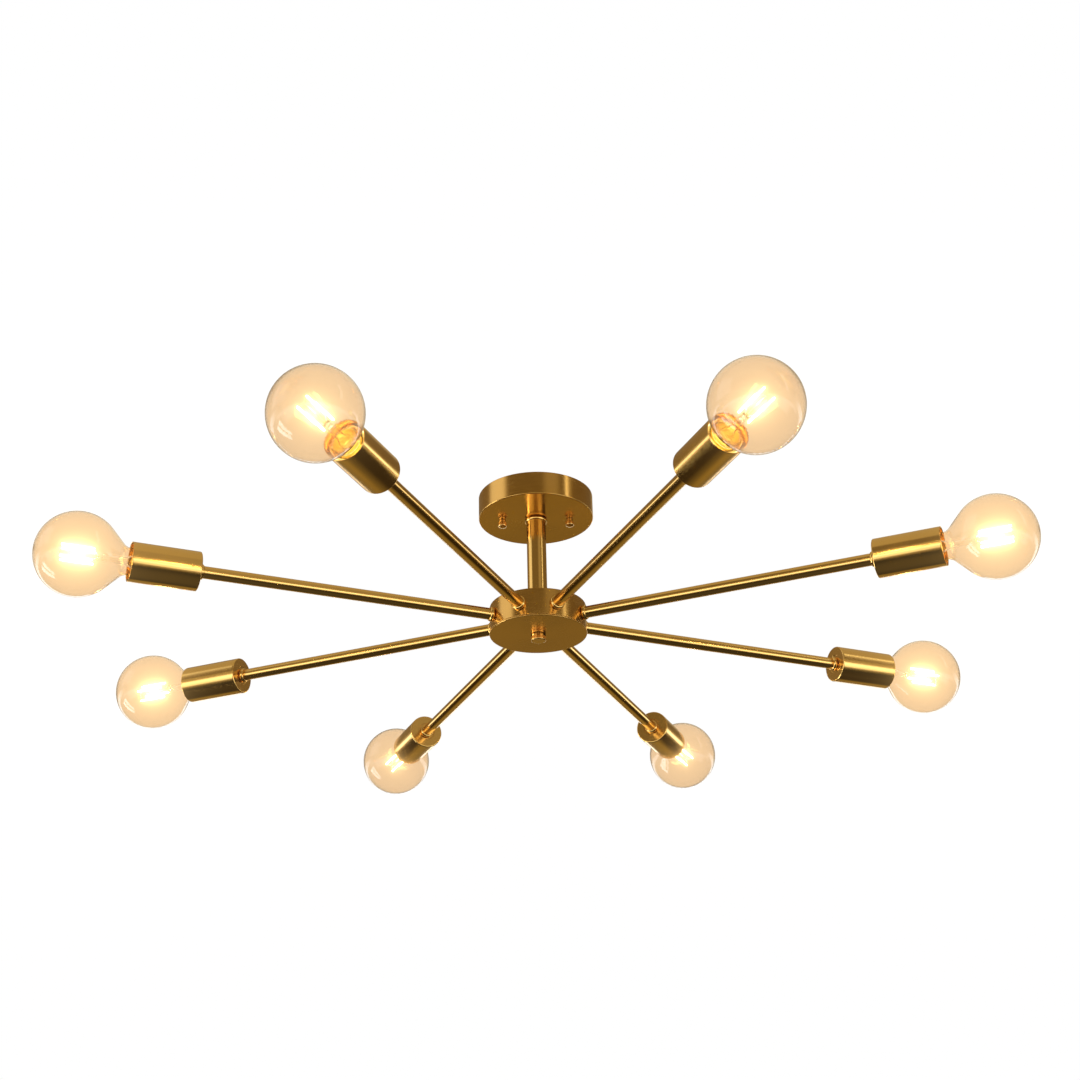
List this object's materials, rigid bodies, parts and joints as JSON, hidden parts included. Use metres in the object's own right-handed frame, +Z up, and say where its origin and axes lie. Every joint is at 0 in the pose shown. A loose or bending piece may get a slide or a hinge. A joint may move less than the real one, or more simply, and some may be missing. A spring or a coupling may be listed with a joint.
{
  "type": "multi-arm ceiling light",
  "caption": "Semi-flush brass ceiling light: a short stem and drum hub with straight radial arms, each ending in a cup lampholder with a screw-in globe bulb.",
  "frame": {"origin": "centre of the mounting crossbar's top face, in the ceiling plane", "axes": "+Z up, out of the ceiling face; +X along the crossbar; the arms are 45 degrees apart, the first 22.5 degrees from +X towards +Y"},
  "size_m": [0.9298, 0.9298, 0.18],
  "materials": {
    "brushed_brass": "brushed satin, circular on the flat faces",
    "satin_brass": "satin gold, fine lengthwise grain",
    "polished_brass": "polished",
    "zinc_steel": "zinc plated",
    "porcelain": "glazed",
    "amber_glass": "clear with a faint amber tint",
    "lamp_cap": "plated, thin rolled thread",
    "black_wire": "smooth insulation",
    "white_wire": "smooth insulation",
    "green_wire": "smooth insulation",
    "connector_plastic": "moulded",
    "green_screw": "dyed zinc"
  },
  "bodies": {
    "root": {"canopy": "brushed_brass", "crossbar": "zinc_steel", "mounting_stud_left": "zinc_steel", "mounting_stud_right": "zinc_steel", "canopy_nut_left": "polished_brass", "canopy_nut_right": "polished_brass", "canopy_nipple": "zinc_steel", "canopy_locknut": "zinc_steel", "stem": "satin_brass", "hub_shell": "brushed_brass", "hub_nipple": "zinc_steel", "hub_locknut": "zinc_steel", "hub_cover": "brushed_brass", "finial": "polished_brass", "live_harness": "black_wire", "neutral_harness": "white_wire", "live_connector": "connector_plastic", "neutral_connector": "connector_plastic", "ground_screw": "green_screw", "ground_lead": "green_wire", "arm_1": "satin_brass", "socket_cup_1": "satin_brass", "lampholder_1": "porcelain", "arm_2": "satin_brass", "socket_cup_2": "satin_brass", "lampholder_2": "porcelain", "arm_3": "satin_brass", "socket_cup_3": "satin_brass", "lampholder_3": "porcelain", "arm_4": "satin_brass", "socket_cup_4": "satin_brass", "lampholder_4": "porcelain", "arm_5": "satin_brass", "socket_cup_5": "satin_brass", "lampholder_5": "porcelain", "arm_6": "satin_brass", "socket_cup_6": "satin_brass", "lampholder_6": "porcelain", "arm_7": "satin_brass", "socket_cup_7": "satin_brass", "lampholder_7": "porcelain", "arm_8": "satin_brass", "socket_cup_8": "satin_brass", "lampholder_8": "porcelain"},
    "bulb_1": {"bulb_glass_1": "amber_glass"},
    "bulb_1_base": {"bulb_core_1": "lamp_cap"},
    "bulb_2": {"bulb_glass_2": "amber_glass"},
    "bulb_2_base": {"bulb_core_2": "lamp_cap"},
    "bulb_3": {"bulb_glass_3": "amber_glass"},
    "bulb_3_base": {"bulb_core_3": "lamp_cap"},
    "bulb_4": {"bulb_glass_4": "amber_glass"},
    "bulb_4_base": {"bulb_core_4": "lamp_cap"},
    "bulb_5": {"bulb_glass_5": "amber_glass"},
    "bulb_5_base": {"bulb_core_5": "lamp_cap"},
    "bulb_6": {"bulb_glass_6": "amber_glass"},
    "bulb_6_base": {"bulb_core_6": "lamp_cap"},
    "bulb_7": {"bulb_glass_7": "amber_glass"},
    "bulb_7_base": {"bulb_core_7": "lamp_cap"},
    "bulb_8": {"bulb_glass_8": "amber_glass"},
    "bulb_8_base": {"bulb_core_8": "lamp_cap"}
  },
  "joints": [
    {"name": "bulb_1_travel", "type": "slide", "parent": "root", "child": "bulb_1", "axis": [0.9239, 0.3827, 0], "range_m": [0, 0.01814]},
    {"name": "bulb_1_unscrew", "type": "hinge", "parent": "bulb_1", "child": "bulb_1_base", "pos_m": [0.42505, 0.17606, -0.14], "axis": [0.9239, 0.3827, 0], "range_deg": [0, 1800]},
    {"name": "bulb_2_travel", "type": "slide", "parent": "root", "child": "bulb_2", "axis": [0.3827, 0.9239, 0], "range_m": [0, 0.01814]},
    {"name": "bulb_2_unscrew", "type": "hinge", "parent": "bulb_2", "child": "bulb_2_base", "pos_m": [0.17606, 0.42505, -0.14], "axis": [0.3827, 0.9239, 0], "range_deg": [0, 1800]},
    {"name": "bulb_3_travel", "type": "slide", "parent": "root", "child": "bulb_3", "axis": [-0.3827, 0.9239, 0], "range_m": [0, 0.01814]},
    {"name": "bulb_3_unscrew", "type": "hinge", "parent": "bulb_3", "child": "bulb_3_base", "pos_m": [-0.17606, 0.42505, -0.14], "axis": [-0.3827, 0.9239, 0], "range_deg": [0, 1800]},
    {"name": "bulb_4_travel", "type": "slide", "parent": "root", "child": "bulb_4", "axis": [-0.9239, 0.3827, 0], "range_m": [0, 0.01814]},
    {"name": "bulb_4_unscrew", "type": "hinge", "parent": "bulb_4", "child": "bulb_4_base", "pos_m": [-0.42505, 0.17606, -0.14], "axis": [-0.9239, 0.3827, 0], "range_deg": [0, 1800]},
    {"name": "bulb_5_travel", "type": "slide", "parent": "root", "child": "bulb_5", "axis": [-0.9239, -0.3827, 0], "range_m": [0, 0.01814]},
    {"name": "bulb_5_unscrew", "type": "hinge", "parent": "bulb_5", "child": "bulb_5_base", "pos_m": [-0.42505, -0.17606, -0.14], "axis": [-0.9239, -0.3827, 0], "range_deg": [0, 1800]},
    {"name": "bulb_6_travel", "type": "slide", "parent": "root", "child": "bulb_6", "axis": [-0.3827, -0.9239, 0], "range_m": [0, 0.01814]},
    {"name": "bulb_6_unscrew", "type": "hinge", "parent": "bulb_6", "child": "bulb_6_base", "pos_m": [-0.17606, -0.42505, -0.14], "axis": [-0.3827, -0.9239, 0], "range_deg": [0, 1800]},
    {"name": "bulb_7_travel", "type": "slide", "parent": "root", "child": "bulb_7", "axis": [0.3827, -0.9239, 0], "range_m": [0, 0.01814]},
    {"name": "bulb_7_unscrew", "type": "hinge", "parent": "bulb_7", "child": "bulb_7_base", "pos_m": [0.17606, -0.42505, -0.14], "axis": [0.3827, -0.9239, 0], "range_deg": [0, 1800]},
    {"name": "bulb_8_travel", "type": "slide", "parent": "root", "child": "bulb_8", "axis": [0.9239, -0.3827, 0], "range_m": [0, 0.01814]},
    {"name": "bulb_8_unscrew", "type": "hinge", "parent": "bulb_8", "child": "bulb_8_base", "pos_m": [0.42505, -0.17606, -0.14], "axis": [0.9239, -0.3827, 0], "range_deg": [0, 1800]}
  ],
  "couplings": [
    {"joint": "bulb_1_unscrew", "follows": "bulb_1_travel", "rad_per_m": 1731.6},
    {"joint": "bulb_2_unscrew", "follows": "bulb_2_travel", "rad_per_m": 1731.6},
    {"joint": "bulb_3_unscrew", "follows": "bulb_3_travel", "rad_per_m": 1731.6},
    {"joint": "bulb_4_unscrew", "follows": "bulb_4_travel", "rad_per_m": 1731.6},
    {"joint": "bulb_5_unscrew", "follows": "bulb_5_travel", "rad_per_m": 1731.6},
    {"joint": "bulb_6_unscrew", "follows": "bulb_6_travel", "rad_per_m": 1731.6},
    {"joint": "bulb_7_unscrew", "follows": "bulb_7_travel", "rad_per_m": 1731.6},
    {"joint": "bulb_8_unscrew", "follows": "bulb_8_travel", "rad_per_m": 1731.6}
  ]
}
